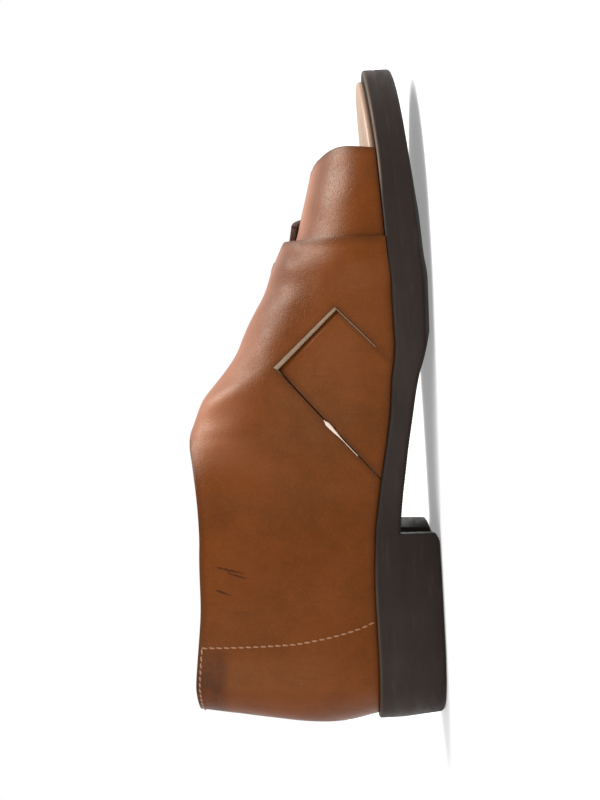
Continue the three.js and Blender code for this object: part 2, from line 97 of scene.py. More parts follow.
# Sole's outline: share of the length, half width in shares of the heel's and the ball's, centre line
OUTLINE = (
    (0.000, 0.000, 0.000, 0.000), (0.030, 0.655, 0.000, 0.000), (0.075, 0.910, 0.000, 0.000),
    (0.130, 1.000, 0.000, 0.000), (0.200, 0.995, 0.000, -0.001), (0.300, 0.940, 0.000, -0.003),
    (0.400, 0.660, 0.215, -0.006), (0.480, 0.340, 0.500, -0.018), (0.560, 0.120, 0.770, -0.028),
    (0.640, 0.000, 0.950, -0.024), (0.710, 0.000, 1.000, -0.012), (0.780, 0.000, 0.990, 0.004),
    (0.850, 0.000, 0.900, 0.026), (0.910, 0.000, 0.745, 0.050), (0.955, 0.000, 0.545, 0.068),
    (0.985, 0.000, 0.320, 0.080), (1.000, 0.000, 0.000, 0.086),
)
# Side of the sole: share of the length, shares of the heel lift and the toe spring, thickness
SIDE = (
    (0.000, 1.000, 0.000, 0.690), (0.115, 1.020, 0.000, 0.650), (0.200, 1.020, 0.000, 0.660),
    (0.290, 0.955, 0.000, 0.655), (0.348, 0.850, 0.000, 0.620), (0.405, 0.690, 0.000, 0.610),
    (0.466, 0.450, 0.000, 0.685), (0.523, 0.220, 0.000, 0.845), (0.552, 0.070, 0.000, 0.930),
    (0.576, 0.000, 0.000, 0.975), (0.658, 0.000, 0.000, 1.000), (0.700, 0.000, 0.160, 1.000),
    (0.780, 0.000, 0.370, 0.985), (0.865, 0.000, 0.600, 0.950), (0.945, 0.000, 0.810, 0.955),
    (1.000, 0.000, 1.000, 0.930),
)
# Last by its reach, 0 at the heel, 1 at the throat, 2 at the toe: ridge height, squareness, lean, swell
LAST = (
    (0.000, 5.000, 2.70, 0.000, 1.00), (0.268, 5.000, 2.70, 0.000, 0.70),
    (0.508, 2.300, 2.70, 0.000, 0.50), (0.678, 1.400, 2.70, 0.000, 0.45),
    (0.763, 1.200, 2.68, 0.004, 0.42), (0.848, 1.100, 2.65, 0.008, 0.40),
    (0.933, 1.035, 2.60, 0.012, 0.40), (1.000, 1.000, 2.55, 0.018, 0.40),
    (1.074, 0.933, 2.50, 0.028, 0.40), (1.156, 0.806, 2.45, 0.040, 0.40),
    (1.291, 0.679, 2.40, 0.050, 0.40), (1.445, 0.498, 2.32, 0.050, 0.35),
    (1.530, 0.410, 2.26, 0.046, 0.30), (1.606, 0.362, 2.20, 0.044, 0.25),
    (1.740, 0.288, 2.15, 0.044, 0.15), (1.873, 0.210, 2.10, 0.055, 0.05),
    (2.000, 0.130, 2.00, 0.086, 0.00),
)
# Collar from the heel to the throat: shares of the instep height and of the collar height
COLLAR = (
    (0.000, 0.00, 0.982), (0.135, 0.00, 0.990), (0.255, 0.00, 0.972), (0.475, 0.00, 0.934),
    (0.645, 0.00, 0.942), (0.765, 0.30, 0.652), (0.865, 0.60, 0.371), (0.932, 0.98, 0.000),
    (1.000, 1.00, 0.000),
)
# Edges of the leather pieces: girth from 0 at the outer side's sole over the ridge at 1 to 2, and reach
TOE_BAND_FRONT = (
    (0.0, 1.749), (0.3, 1.765), (0.6, 1.750), (1.0, 1.729), (1.4, 1.740), (1.7, 1.761), (2.0, 1.776),
)
TOE_BAND_BACK = ((0.0, 1.458), (1.0, 1.439), (2.0, 1.530))
OUTER_PANEL_FRONT = (
    (0.00, 1.506), (0.45, 1.508), (0.78, 1.506), (0.92, 1.483), (1.05, 1.439), (1.30, 1.367),
    (1.73, 1.277), (2.00, 1.150),
)
INNER_PANEL_FRONT = (
    (0.00, 1.170), (0.27, 1.326), (0.55, 1.430), (0.80, 1.506), (0.98, 1.561), (1.15, 1.582),
    (1.50, 1.604), (2.00, 1.609),
)
STRAP_BACK = ((0.00, 0.837), (0.30, 1.027), (0.56, 1.174), (0.80, 1.096), (1.00, 1.000))

# Seam that sews the heel's counter in: girth and millimetres from the back of the heel
COUNTER_SEAM = ((0.0, 44.6), (0.1, 42.0), (0.3, 38.8), (0.5, 37.0), (0.8, 36.6), (1.0, 36.8))

# Soft creases of the worn leather: start and end as place along the sole and girth, depth, half width
CREASES = (
    ((131, 0.98), (141, 0.66), 0.45, 4.0), ((122, 0.80), (127, 0.55), 0.22, 4.5),
    ((104, 0.80), (98, 0.50), 0.30, 5.0), ((88, 0.30), (97, 0.08), 0.35, 4.0),
    ((52, 0.90), (74, 0.62), 0.25, 5.5), ((48, 0.45), (52, 0.15), 0.30, 5.0),
    ((172, 0.72), (179, 0.34), 0.30, 4.0), ((148, 0.86), (163, 0.58), 0.35, 4.5),
    ((150, 1.55), (158, 1.25), 0.40, 4.5), ((122, 1.70), (134, 1.35), 0.35, 5.0),
    ((100, 1.75), (92, 1.35), 0.35, 5.0), ((60, 1.80), (70, 1.40), 0.30, 5.0),
    ((203, 0.85), (199, 0.35), 0.22, 5.0), ((210, 1.60), (204, 1.15), 0.25, 5.0),
)
# Marks rubbed into the outer side: start and end as places along the sole and heights, and half width
SCRATCHES = (
    ((68.3, 88.4), (65.0, 76.0), 0.5), ((66.5, 85.5), (63.0, 75.2), 0.4), ((59.4, 88.8), (57.0, 82.4), 0.45),
)
STAIN_BELOW_COLLAR = 12
STAIN_FRONT = 37.5

# How finely the surfaces and the paths on them are worked out
TINY = 1e-6
STATION_STEP = math.pi / 420
GIRTH_STEPS = 48
NORMAL_STEP = 1.0
NORMAL_GIRTH = 0.02
SEAM_SAMPLES = 400
SOLE_STATIONS = 640
FOOTBED_STATIONS = 160

# Small measures of the make: the girth from sole to ridge, then edges, slit, strap, seam and footbed
GIRTH_LENGTH = 84
RIM_ROUND = 0.45
FRONT_LIFT = 0.6
SLIT_GAP = 0.35
CUT_PAST_SOLE = 6
CUT_ROOM = 8
OUTER_SIDE = -8
TUCK_LENGTH = 3.2
TUCK_GAP = 0.12
SEAM_BELOW_COLLAR = 1.5
FOOTBED_ROLL = 1.3


def monotone(rows, column, warp=lambda value: value):
    """Smooth curve through a table's column that never overshoots its rows"""
    xs = [warp(row[0]) for row in rows]
    ys = [row[column] for row in rows]
    last = len(xs) - 1
    rise = [(ys[i + 1] - ys[i]) / (xs[i + 1] - xs[i]) for i in range(last)]
    slope = [rise[0]]
    for before, after in zip(rise, rise[1:]):
        slope.append(0 if before * after <= 0 else 2 * before * after / (before + after))
    slope.append(rise[-1])

    def value_at(value):
        x = warp(value)
        i = min(max(bisect_right(xs, x) - 1, 0), last - 1)
        width = xs[i + 1] - xs[i]
        t = (x - xs[i]) / width
        s = 1 - t
        ends = ys[i] * s * s * (1 + 2 * t) + ys[i + 1] * t * t * (1 + 2 * s)
        return ends + width * t * s * (slope[i] * s - slope[i + 1] * t)

    return value_at


def clamp(value, low=0.0, high=1.0):
    return min(high, max(low, value))


def smooth(value):
    t = clamp(value)
    return t * t * (3 - 2 * t)


def mix(a, b, share):
    return a + (b - a) * share


def turn_at(at):
    return math.acos(1 - 2 * clamp(at))


def half_turns(stations):
    return [math.pi * i / stations for i in range(stations + 1)]


heel_half = monotone(OUTLINE, 1, turn_at)
ball_half = monotone(OUTLINE, 2, turn_at)
outline_lean = monotone(OUTLINE, 3)
heel_lift = monotone(SIDE, 1)
toe_lift = monotone(SIDE, 2)
thickness = monotone(SIDE, 3)
ridge_height = monotone(LAST, 1)
squareness = monotone(LAST, 2)
ridge_lean = monotone(LAST, 3)
wall_swell = monotone(LAST, 4)
collar_instep = monotone(COLLAR, 1)
collar_back = monotone(COLLAR, 2)
counter_seam = monotone(COUNTER_SEAM, 1)


def outline(turn):
    """Point of the sole's outline: turn 0 at the heel, PI at the toe, negative on the outer side"""
    at = (1 - math.cos(turn)) / 2
    half = (heel_half(at) * HEEL_WIDTH + ball_half(at) * BALL_WIDTH) / 2
    return Vector((at * SOLE_LENGTH, outline_lean(at) * BALL_WIDTH + math.copysign(half, turn)))


def inward(turn):
    step = 0.02
    if abs(turn) < step:
        return Vector((1, 0))
    if math.pi - abs(turn) < step:
        return Vector((-1, 0))
    along = outline(turn + step) - outline(turn - step)
    return Vector((along.y, -along.x)).normalized()


def inset_outline(turn, inset):
    return outline(turn) + inward(turn) * inset


def underside(x):
    at = clamp(x / SOLE_LENGTH)
    return heel_lift(at) * HEEL_LIFT + toe_lift(at) * TOE_SPRING


def sole_top(x):
    return underside(x) + thickness(clamp(x / SOLE_LENGTH)) * SOLE_THICKNESS


def seat(x):
    return sole_top(x) + GAP


def at_reach(reach):
    return reach * THROAT_AT if reach <= 1 else mix(THROAT_AT, SOLE_LENGTH, reach - 1)


def reach_at(x):
    if x <= THROAT_AT:
        return clamp(x / THROAT_AT)
    return 1 + clamp((x - THROAT_AT) / (SOLE_LENGTH - THROAT_AT))


def top_height(x):
    """Height of the upper's top edge above the sole"""
    if x >= THROAT_AT:
        return ridge_height(reach_at(x)) * INSTEP_HEIGHT
    way = clamp(x / THROAT_AT)
    return collar_instep(way) * INSTEP_HEIGHT + collar_back(way) * COLLAR_HEIGHT


def wall_point(turn, height):
    """Point of the last's wall at a height above the sole"""
    foot = inset_outline(turn, LEDGE + LEATHER)
    x = clamp(outline(turn).x, 0, SOLE_LENGTH)
    at = reach_at(x)
    ridge = ridge_height(at) * INSTEP_HEIGHT
    square = squareness(at)
    closing = max(0, 1 - clamp(height / ridge) ** square) ** (1 / square)
    rise = height / COUNTER_SWELL_HEIGHT
    swell = wall_swell(at) * (
        COUNTER_SWELL * (rise * math.exp(1 - rise)) ** WALL_CURVE
        - COLLAR_LEAN * (height / COLLAR_HEIGHT) ** WALL_CURVE
    )
    turned = 1 - smooth((x - HEEL_WIDTH / 2) / (HEEL_WIDTH / 2))
    across = Vector((0, 1 if turn < 0 else -1))
    into = across.lerp(inward(turn), turned).normalized()
    reach = abs(foot.y - ridge_lean(at) * BALL_WIDTH)
    inset = (1 - turned) * reach * (1 - closing) - swell * closing
    return Vector((foot.x + into.x * inset, foot.y + into.y * inset, seat(foot.x) + height))


STATIONS = {}


def station(index):
    """One section of the last: its points and their girth lengths, kept for the next call"""
    if index not in STATIONS:
        turn = index * STATION_STEP
        x = outline(turn).x
        ridge = ridge_height(reach_at(x)) * INSTEP_HEIGHT
        square = squareness(reach_at(x))
        end = math.asin(clamp(top_height(x) / ridge) ** (square / 2))
        angles = [end * i / GIRTH_STEPS for i in range(GIRTH_STEPS + 1)]
        points = [wall_point(turn, ridge * math.sin(a) ** (2 / square)) for a in angles]
        lengths = [0.0]
        for a, b in zip(points, points[1:]):
            lengths.append(lengths[-1] + (b - a).length)
        STATIONS[index] = (points, lengths)
    return STATIONS[index]


def station_point(index, share):
    points, lengths = station(index)
    want = share * lengths[-1]
    if want < 0:
        return points[0] + Vector((0, 0, want))
    i = min(max(bisect_right(lengths, want) - 1, 0), len(lengths) - 2)
    return points[i].lerp(points[i + 1], (want - lengths[i]) / (lengths[i + 1] - lengths[i]))


def girth_point(turn, share):
    place = clamp(turn / STATION_STEP, -math.pi / STATION_STEP, math.pi / STATION_STEP)
    low = math.floor(place)
    return station_point(low, share).lerp(station_point(low + 1, share), place - low)


def last_point(x, girth):
    """Last point from the place along the sole and the girth from 0 to 2"""
    turn = max(turn_at(x / SOLE_LENGTH), TINY)
    return girth_point(-turn, girth) if girth <= 1 else girth_point(turn, 2 - girth)


def raised(x, girth, height):
    """Last point raised square to the last by a height"""
    du = last_point(x + NORMAL_STEP, girth) - last_point(x - NORMAL_STEP, girth)
    dv = last_point(x, girth + NORMAL_GIRTH) - last_point(x, girth - NORMAL_GIRTH)
    return last_point(x, girth) + du.cross(dv).normalized() * height


def raised_at_heel(turn, girth, height):
    """The same round the heel, where the turn leads"""
    step = STATION_STEP
    du = girth_point(turn - step, girth) - girth_point(turn + step, girth)
    dv = girth_point(turn, girth + NORMAL_GIRTH) - girth_point(turn, girth - NORMAL_GIRTH)
    return girth_point(turn, girth) + du.cross(dv).normalized() * height


def edge(rows):
    reach = monotone(rows, 1)
    return lambda girth: at_reach(reach(girth))


toe_band_front = edge(TOE_BAND_FRONT)
toe_band_back = edge(TOE_BAND_BACK)
outer_front = edge(OUTER_PANEL_FRONT)
inner_front = edge(INNER_PANEL_FRONT)
strap_back = edge(STRAP_BACK)


def outer_back(girth):
    return THROAT_AT if girth <= 1 else strap_back(2 - girth)


def inner_back(girth):
    return strap_back(girth) if girth <= 1 else THROAT_AT


def on_toe_band(x, girth):
    return smooth(1 + (x - toe_band_back(girth)) / FADE)


def outer_layers(x, girth):
    """How many layers lie below the outer panel"""
    past_throat = smooth((x - THROAT_AT) / FADE)
    if girth >= 1:
        return on_toe_band(x, girth) + max(past_throat, smooth((girth - 1) / THROAT_FADE))
    above_slit = smooth((girth - COVER_GIRTH) / THROAT_FADE)
    over_strap = smooth(1 + (x - inner_back(girth)) / FADE) * smooth(1 + (inner_front(girth) - x) / FADE)
    return on_toe_band(x, girth) + past_throat * above_slit * over_strap


def rim_lift(x, girth):
    """The inner panel's front rim stands off the toe band over the ridge and on the inner side"""
    forward = smooth(1 - (inner_front(girth) - x) / RIM_WIDTH)
    return RIM_LIFT * smooth((girth - RIM_FROM_GIRTH) / THROAT_FADE) * forward


def side_view(point):
    return Vector((point.x, point.z))


def seen(x, girth):
    return side_view(last_point(x, girth))


# Corners of the strap where it shows, seen square from the outer side: place along the sole and height
SLIT_TOP_BACK = seen(strap_back(SLIT_HIGH_GIRTH), SLIT_HIGH_GIRTH)
SLIT_TOP_FRONT = seen(inner_front(SLIT_LOW_GIRTH), SLIT_LOW_GIRTH)
STRAP_FOOT_BACK = seen(strap_back(0), 0)
STRAP_FOOT_FRONT = seen(inner_front(0), 0)


def beyond(point, start, end):
    """Signed distance of a point from a line, in the side view, positive on its left"""
    along = (end - start).normalized()
    away = point - start
    return along.x * away.y - along.y * away.x


def distance_to(here, start, end):
    """Distance of a point of the side view from the stretch between two others"""
    share = clamp((here - start).dot(end - start) / (end - start).length_squared)
    return (here - start.lerp(end, share)).length


def on_line(girth, start, end):
    """Place along the sole where a row of the last crosses a line of the side view"""
    x = start.x
    for _ in range(8):
        height = last_point(x, girth).z
        x = start.x + (height - start.y) * (end.x - start.x) / (end.y - start.y)
    return x


def crease_depth(x, girth):
    """Troughs of the creases with a soft ridge on either side"""
    depth = 0.0
    here = Vector((x, girth * GIRTH_LENGTH))
    for (x0, g0), (x1, g1), deep, width in CREASES:
        start, end = Vector((x0, g0 * GIRTH_LENGTH)), Vector((x1, g1 * GIRTH_LENGTH))
        along = end - start
        share = clamp((here - start).dot(along) / along.length_squared)
        far = (here - start - along * share).length / width
        if far < 4:
            ends = math.sin(math.pi * clamp(0.12 + 0.76 * share))
            depth += deep * ends * (math.exp(-far * far) - 0.55 * math.exp(-((far - 1.9) ** 2) * 1.6))
    return depth


def unevenness(point):
    """Slow swells of hand-pulled leather"""
    return 0.14 * noise.noise(point / 26) + 0.08 * noise.noise(point / 9)


def dressed(point_at, x, girth, height):
    """Point of the leather's face with its creases and swells, which die out at the edges it is held by"""
    base = point_at(height)
    held = smooth(min(girth, 2 - girth) / 0.12)
    return point_at(height + held * (unevenness(base) - crease_depth(x, girth)))


outsole_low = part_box("outsole")[0]
OUTER_REACH = min(outline(-math.pi * i / 400).y for i in range(1, 400))
HOME = Vector((outsole_low.x / MM, outsole_low.y / MM - OUTER_REACH, 0))


def to_frame(point):
    return (Vector(point) + HOME) * MM


def linear(red, green, blue):
    """A colour of 0 to 255 as the shader's linear one"""
    parts = [c / 255 for c in (red, green, blue)]
    return [c / 12.92 if c <= 0.04045 else ((c + 0.055) / 1.055) ** 2.4 for c in parts] + [1.0]


def shaded(colour, share):
    return [c * share for c in colour[:3]] + [1.0]


def colour_setting(name, description, *rgb):
    return bpy.props.FloatVectorProperty(
        name=name, description=description, subtype="COLOR", size=4, min=0, max=1, default=linear(*rgb),
    )


class SandalLook(bpy.types.PropertyGroup):
    """Sizes and colours of the sandal that can be set"""

    edge_round: bpy.props.FloatProperty(
        name="Edge rounding", description="Rounding of a cut leather edge", default=RIM_ROUND * MM,
        min=0.0, unit="LENGTH",
    )
    stitch_pitch: bpy.props.FloatProperty(
        name="Stitch pitch", description="Distance from one stitch to the next", default=0.0029,
        min=0.001, unit="LENGTH",
    )
    stitch_length: bpy.props.FloatProperty(
        name="Stitch length", description="Length of thread that shows in a stitch", default=0.0025,
        min=0.0005, unit="LENGTH",
    )
    thread: bpy.props.FloatProperty(
        name="Thread", description="Thickness of the thread", default=0.00085, min=0.0002, unit="LENGTH",
    )
    leather_colour: colour_setting("Leather", "Middle brown of the upper", 84, 40, 8)
    leather_dark: colour_setting("Dark leather", "Darker clouds of the upper", 70, 31, 4)
    stain_colour: colour_setting("Stain", "Red-brown of the heel's top and of the scuffs", 48, 15, 3)
    raw_colour: colour_setting("Raw edge", "Pale cut edge of the leather", 124, 103, 84)
    inked_colour: colour_setting("Inked edge", "Red-brown of the painted edges", 64, 28, 14)
    lining_colour: colour_setting("Lining", "Tan of the lining and the footbed", 139, 108, 84)
    thread_colour: colour_setting("Thread colour", "Pale tan of the stitches", 134, 88, 56)
    sole_colour: colour_setting("Sole", "Dark brown of the moulded sole", 29, 20, 15)


def look():
    return bpy.context.scene.sandal_look


class Shader:
    """Short calls to add and join the nodes of one material"""

    def __init__(self, name):
        self.material = bpy.data.materials.new(name)
        self.material.use_nodes = True
        self.nodes = self.material.node_tree.nodes
        self.links = self.material.node_tree.links
        self.skin = self.nodes["Principled BSDF"]
        self.place = self.add("ShaderNodeTexCoord").outputs["Object"]

    def add(self, kind, **settings):
        node = self.nodes.new(kind)
        for key, value in settings.items():
            setattr(node, key, value)
        return node

    def join(self, source, target):
        self.links.new(source, target)

    def set(self, **values):
        for key, value in values.items():
            self.skin.inputs[key.replace("_", " ")].default_value = value

    def noise(self, scale, detail=4.0, roughness=0.55, distortion=0.0, stretch=None):
        node = self.add("ShaderNodeTexNoise")
        node.inputs["Scale"].default_value = scale
        node.inputs["Detail"].default_value = detail
        node.inputs["Roughness"].default_value = roughness
        node.inputs["Distortion"].default_value = distortion
        self.join(self.stretched(stretch), node.inputs["Vector"])
        return node.outputs["Fac"]

    def cells(self, scale):
        node = self.add("ShaderNodeTexVoronoi")
        node.inputs["Scale"].default_value = scale
        self.join(self.place, node.inputs["Vector"])
        return node.outputs["Distance"]

    def stretched(self, stretch):
        if stretch is None:
            return self.place
        mapping = self.add("ShaderNodeMapping")
        mapping.inputs["Scale"].default_value = stretch
        self.join(self.place, mapping.inputs["Vector"])
        return mapping.outputs["Vector"]

    def attribute(self, name):
        return self.add("ShaderNodeAttribute", attribute_name=name).outputs["Fac"]

    def ramp(self, source, low, high, to_low=0.0, to_high=1.0):
        node = self.add("ShaderNodeMapRange", interpolation_type="SMOOTHSTEP")
        limits = (low, high, to_low, to_high)
        for key, value in zip(("From Min", "From Max", "To Min", "To Max"), limits):
            node.inputs[key].default_value = value
        self.join(source, node.inputs["Value"])
        return node.outputs["Result"]

    def maths(self, operation, a, b):
        node = self.add("ShaderNodeMath", operation=operation)
        for slot, value in zip(node.inputs, (a, b)):
            if isinstance(value, (int, float)):
                slot.default_value = value
            else:
                self.join(value, slot)
        return node.outputs["Value"]

    def blend(self, share, a, b):
        node = self.add("ShaderNodeMix", data_type="RGBA")
        for slot, value in ((node.inputs[0], share), (node.inputs[6], a), (node.inputs[7], b)):
            if hasattr(value, "is_output"):
                self.join(value, slot)
            else:
                slot.default_value = value
        return node.outputs[2]

    def bump(self, height, distance, strength=1.0, before=None):
        node = self.add("ShaderNodeBump")
        node.inputs["Strength"].default_value = strength
        node.inputs["Distance"].default_value = distance
        self.join(height, node.inputs["Height"])
        if before is not None:
            self.join(before, node.inputs["Normal"])
        return node.outputs["Normal"]

    def colour(self, source):
        self.join(source, self.skin.inputs["Base Color"])

    def roughness(self, source):
        self.join(source, self.skin.inputs["Roughness"])

    def normal(self, source):
        self.join(source, self.skin.inputs["Normal"])


def scratch_mark(s, start, end, width):
    """Share of a scratch: a thin ellipse along a line of the outer side, a little frayed"""
    a, b = to_frame((start[0], 0, start[1])), to_frame((end[0], 0, end[1]))
    along = b - a
    local = s.add("ShaderNodeMapping", vector_type="TEXTURE")
    local.inputs["Location"].default_value = (a + b) / 2
    local.inputs["Rotation"].default_value = (0, -math.atan2(along.z, along.x), 0)
    local.inputs["Scale"].default_value = (along.length / 2, 1, width * MM)
    s.join(s.place, local.inputs["Vector"])
    flat = s.add("ShaderNodeVectorMath", operation="MULTIPLY")
    flat.inputs[1].default_value = (1, 0, 1)
    s.join(local.outputs["Vector"], flat.inputs[0])
    far = s.add("ShaderNodeVectorMath", operation="LENGTH")
    s.join(flat.outputs["Vector"], far.inputs[0])
    frayed = s.maths("ADD", far.outputs["Value"], s.ramp(s.noise(700, 3, 0.7), 0.3, 0.7, -0.3, 0.3))
    side = s.add("ShaderNodeSeparateXYZ")
    s.join(s.place, side.inputs["Vector"])
    outer = s.ramp(side.outputs["Y"], -0.01, 0.0, 1.0, 0.0)
    return s.maths("MULTIPLY", s.ramp(frayed, 0.5, 1.1, 0.85, 0.0), outer)


def leather_material(name, tint, shade, gloss):
    """Waxed smooth leather: cloudy browns, fine grain, darker at its edges by burnish and painted shade, a
    painted highlight along the ridge, with scuffs and a stain
    """
    s = Shader(name)
    clouds = s.ramp(s.noise(26, 5, 0.6), 0.32, 0.68)
    fine = s.ramp(s.noise(160, 4, 0.65), 0.3, 0.7)
    body = s.blend(clouds, list(shade), list(tint))
    body = s.blend(s.maths("MULTIPLY", fine, 0.22), body, shaded(tint, 1.22))
    flecks = s.ramp(s.noise(1050, 3, 0.7), 0.48, 0.78, 0.0, 0.3)
    body = s.blend(flecks, body, shaded(tint, 1.7))
    streaks = s.ramp(s.noise(420, 4, 0.7, 0.2, (1.0, 1.0, 0.22)), 0.5, 0.8, 0.0, 0.35)
    body = s.blend(streaks, body, shaded(shade, 0.7))
    # painted highlight: paler pinkish leather along the ridge, from the crest attribute
    body = s.blend(s.maths("MULTIPLY", s.attribute("crest"), 0.5), body, linear(146, 96, 72))
    # darker near the edges: partly burnished leather, partly painted shade along the sole, the slit and the
    # panels' edges
    shade_and_burnish = s.ramp(s.attribute("edge"), 0.0, 0.38, 0.55, 0.0)
    body = s.blend(shade_and_burnish, body, shaded(shade, 0.55))
    patchy = s.ramp(s.noise(75, 5, 0.7), 0.35, 0.6, 0.45, 1.0)
    stain = s.maths("MULTIPLY", s.attribute("stain"), patchy)
    body = s.blend(stain, body, list(look().stain_colour))
    for start, end, width in SCRATCHES:
        body = s.blend(scratch_mark(s, start, end, width), body, shaded(look().stain_colour, 0.7))
    s.colour(body)
    s.roughness(s.ramp(s.noise(70, 4, 0.6), 0.3, 0.7, gloss - 0.05, gloss + 0.07))
    pores = s.ramp(s.cells(1500), 0.0, 0.55)
    wrinkles = s.noise(900, 3, 0.6, 0.4)
    grain = s.maths("ADD", s.maths("MULTIPLY", pores, 0.6), s.maths("MULTIPLY", wrinkles, 0.7))
    s.normal(s.bump(grain, 0.00013, 0.75, s.bump(s.noise(240, 4, 0.6), 0.00015, 0.6)))
    s.set(IOR=1.48, Specular_IOR_Level=0.17, Specular_Tint=(1.0, 0.72, 0.46, 1.0))
    return s.material


def edge_material():
    """Cut edge of the leather: fibres, red-brown where it was inked and pale where it is raw"""
    s = Shader("leather_cut_edge")
    fibres = s.ramp(s.noise(1400, 4, 0.7), 0.3, 0.7)
    inked = s.blend(fibres, shaded(look().inked_colour, 0.6), list(look().inked_colour))
    raw = s.blend(fibres, shaded(look().raw_colour, 0.62), list(look().raw_colour))
    # painted glint: near white where light shows through the gap at the strap's rear edge
    raw = s.blend(s.attribute("glint"), raw, linear(186, 166, 152))
    s.colour(s.blend(s.attribute("pale"), inked, raw))
    s.normal(s.bump(s.noise(1100, 4, 0.7), 0.00015))
    s.set(Roughness=0.82, IOR=1.45)
    return s.material


def lining_material():
    """Smooth tan lining leather with a dry finish"""
    s = Shader("lining_leather")
    clouds = s.ramp(s.noise(34, 5, 0.6), 0.3, 0.7)
    tan = look().lining_colour
    body = s.blend(clouds, shaded(tan, 0.78), list(tan))
    s.colour(body)
    grain = s.maths("ADD", s.cells(1300), s.noise(700, 3, 0.6))
    s.normal(s.bump(grain, 0.00008, 0.6))
    s.roughness(s.ramp(s.noise(90, 3), 0.3, 0.7, 0.44, 0.58))
    s.set(IOR=1.45, Sheen_Weight=0.05)
    return s.material


def thread_material():
    s = Shader("waxed_thread")
    twist = s.ramp(s.noise(2600, 3, 0.6, 0.3), 0.3, 0.7)
    pale = look().thread_colour
    s.colour(s.blend(twist, shaded(pale, 0.6), list(pale)))
    s.normal(s.bump(s.noise(2600, 3), 0.00012))
    s.set(Roughness=0.6)
    return s.material


def sole_material():
    """Moulded dark rubber: dust in its pores, long scuffs along its side, a pale line under the upper that is
    partly worn edge and partly painted highlight
    """
    s = Shader("moulded_rubber")
    dark = look().sole_colour
    clouds = s.ramp(s.noise(22, 5, 0.6), 0.3, 0.7)
    body = s.blend(clouds, shaded(dark, 0.74), shaded(dark, 1.12))
    streaks = s.ramp(s.noise(60, 6, 0.7, 0.2, (1.0, 1.0, 9.0)), 0.52, 0.78, 0.0, 0.4)
    body = s.blend(streaks, body, linear(50, 41, 36))
    dust = s.ramp(s.noise(900, 3, 0.7), 0.62, 0.8, 0.0, 0.35)
    body = s.blend(dust, body, linear(56, 48, 43))
    # pale line along the sole's top edge at the toe and the heel: partly worn edge, partly painted highlight
    body = s.blend(s.attribute("edge_wear_and_highlight"), body, linear(84, 68, 54))
    s.colour(body)
    s.roughness(s.ramp(s.noise(45, 5, 0.6, 0, (1.0, 1.0, 6.0)), 0.3, 0.7, 0.44, 0.62))
    pits = s.maths("ADD", s.noise(1300, 3, 0.6), s.maths("MULTIPLY", streaks, 0.6))
    s.normal(s.bump(pits, 0.00010, 0.7))
    s.set(IOR=1.48, Specular_IOR_Level=0.14)
    return s.material


def floor_material():
    s = Shader("pale_floor")
    s.colour(s.blend(s.noise(3.0, 2), [0.43, 0.43, 0.43, 1.0], [0.44, 0.44, 0.44, 1.0]))
    s.set(Roughness=0.9, IOR=1.3, Emission_Color=(1, 1, 1, 1), Emission_Strength=0.3)
    return s.material


MATERIALS = {}


def material(name):
    if name not in MATERIALS:
        tint, shade = look().leather_colour, look().leather_dark
        makers = {
            "panel": lambda: leather_material("upper_leather", tint, shade, 0.42),
            "band": lambda: leather_material("toe_band_leather", tint, shade, 0.40),
            "edge": edge_material,
            "lining": lining_material,
            "thread": thread_material,
            "sole": sole_material,
            "floor": floor_material,
        }
        MATERIALS[name] = makers[name]()
    return MATERIALS[name]


def new_piece(name, bm, materials, nodes):
    """A finished mesh becomes a piece of the shoe, riding on its body"""
    mesh = bpy.data.meshes.new(name)
    bm.to_mesh(mesh)
    bm.free()
    for face in mesh.polygons:
        face.use_smooth = True
    piece = bpy.data.objects.new(name, mesh)
    bpy.context.scene.collection.objects.link(piece)
    for key in materials:
        mesh.materials.append(material(key))
    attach(piece, "root")
    if nodes:
        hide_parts(*nodes)
    return piece


def put(bm, vert, point, marks):
    """Takes a vertex to its place in the frame and gives it its marks"""
    vert.co = to_frame(point)
    for key, value in marks.items():
        vert[bm.verts.layers.float[key]] = value


def sheet_patch(bm, columns, rows, place):
    """A flat grid laid on the last. Place gives a point and its marks from two shares of the grid."""
    grid = bmesh.ops.create_grid(bm, x_segments=columns, y_segments=rows, size=0.5)
    for vert in grid["verts"]:
        put(bm, vert, *place(vert.co.x + 0.5, vert.co.y + 0.5))


def leather_mesh():
    bm = bmesh.new()
    for key in ("edge", "stain", "pale", "crest"):
        bm.verts.layers.float.new(key)
    return bm


def give_wall(piece):
    """The sheet gets its wall, with the lining inside and cut edges, and its edges are rounded"""
    wall = piece.modifiers.new("leather wall", "SOLIDIFY")
    wall.thickness = LEATHER * MM
    wall.offset = -1.0
    wall.use_even_offset = False
    wall.material_offset = 1
    wall.material_offset_rim = 2
    rounding = piece.modifiers.new("rounded edges", "BEVEL")
    rounding.width = look().edge_round
    rounding.segments = 2
    rounding.limit_method = "ANGLE"
    rounding.angle_limit = math.radians(50)


def edge_burnish_and_shade(*distances):
    """Distance from the nearest edge as a share of a centimetre, for the leather's darkening there: partly
    burnish, partly painted shade
    """
    return clamp(min(distances) / 10)


def from_sole(girth):
    """Distance from the sole in millimetres, for the darkening along the edges, which is painted shade where
    the leather meets the sole
    """
    return GIRTH_LENGTH * min(girth, 2 - girth) * 0.7 + 1


def stand(point, x, girth):
    """The sheet's ends stand level on the sole"""
    if min(girth, 2 - girth) < TINY:
        point.z = seat(x) - GAP / 2


def crest_highlight(x, girth):
    """Painted highlight: paler leather along the ridge before the throat, where the light falls on it"""
    return smooth((min(girth, 2 - girth) - 0.55) / 0.35) * smooth((x - 100) / 30)


def weld(bm):
    bmesh.ops.remove_doubles(bm, verts=bm.verts, dist=0.02 * MM)


